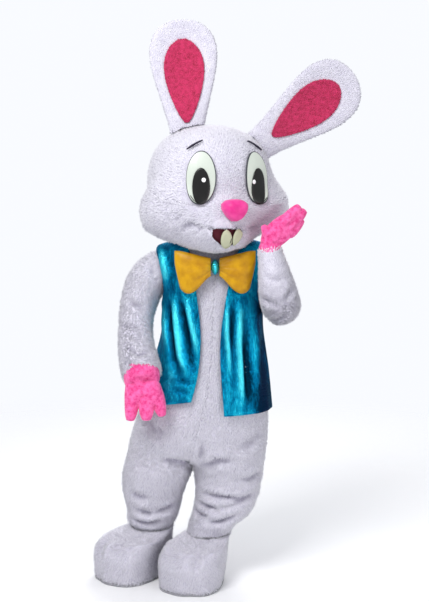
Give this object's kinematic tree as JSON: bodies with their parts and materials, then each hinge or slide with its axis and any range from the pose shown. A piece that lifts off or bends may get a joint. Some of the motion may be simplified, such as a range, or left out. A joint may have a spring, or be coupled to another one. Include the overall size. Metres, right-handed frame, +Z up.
{
  "type": "rabbit mascot costume",
  "caption": "Whole-body rabbit costume with a hollow head, upright ears, jumpsuit, open vest, bow tie, padded gloves and large feet, held in a standing pose.",
  "frame": {"origin": "the point between the shoulders, at collar height, where the wearer's shoulders carry the suit", "axes": "+Z up along the wearer, the chest faces -Y, the wearer's left is +X"},
  "size_m": [1.1023, 0.5791, 2.2704],
  "materials": {
    "plush_white": "white plush, short pile",
    "plush_pink": "pink plush",
    "glove_pink": "pink plush",
    "lame_teal": "crinkled teal lame",
    "satin_yellow": "yellow satin",
    "knot_teal": "teal lame",
    "eye_white": "satin",
    "eye_black": "gloss",
    "nose_pink": "satin over foam",
    "mouth_red": "matt felt",
    "tooth_cream": "matt foam",
    "sole_grey": "matt"
  },
  "bodies": {
    "root": {"ear_left": "plush_white", "ear_right": "plush_white", "head_back": "plush_white", "head_cheeks": "plush_white", "head_face": "plush_white", "sleeve_left": "plush_white", "sleeve_right": "plush_white", "suit_back_left": "plush_white", "suit_back_right": "plush_white", "suit_front_left": "plush_white", "suit_front_right": "plush_white", "foot_left": "plush_white", "foot_right": "plush_white", "inner_ear_left": "plush_pink", "inner_ear_right": "plush_pink", "glove_left": "glove_pink", "glove_right": "glove_pink", "vest_back": "lame_teal", "vest_front_left": "lame_teal", "vest_front_right": "lame_teal", "bow_wing_left": "satin_yellow", "bow_wing_right": "satin_yellow", "bow_knot": "knot_teal", "eye_white_left": "eye_white", "eye_white_right": "eye_white", "pupil_left": "eye_black", "pupil_right": "eye_black", "brow_left": "eye_black", "brow_right": "eye_black", "nose": "nose_pink", "mouth_lining": "mouth_red", "tooth_left": "tooth_cream", "tooth_right": "tooth_cream", "sole_left": "sole_grey", "sole_right": "sole_grey"}
  },
  "joints": []
}
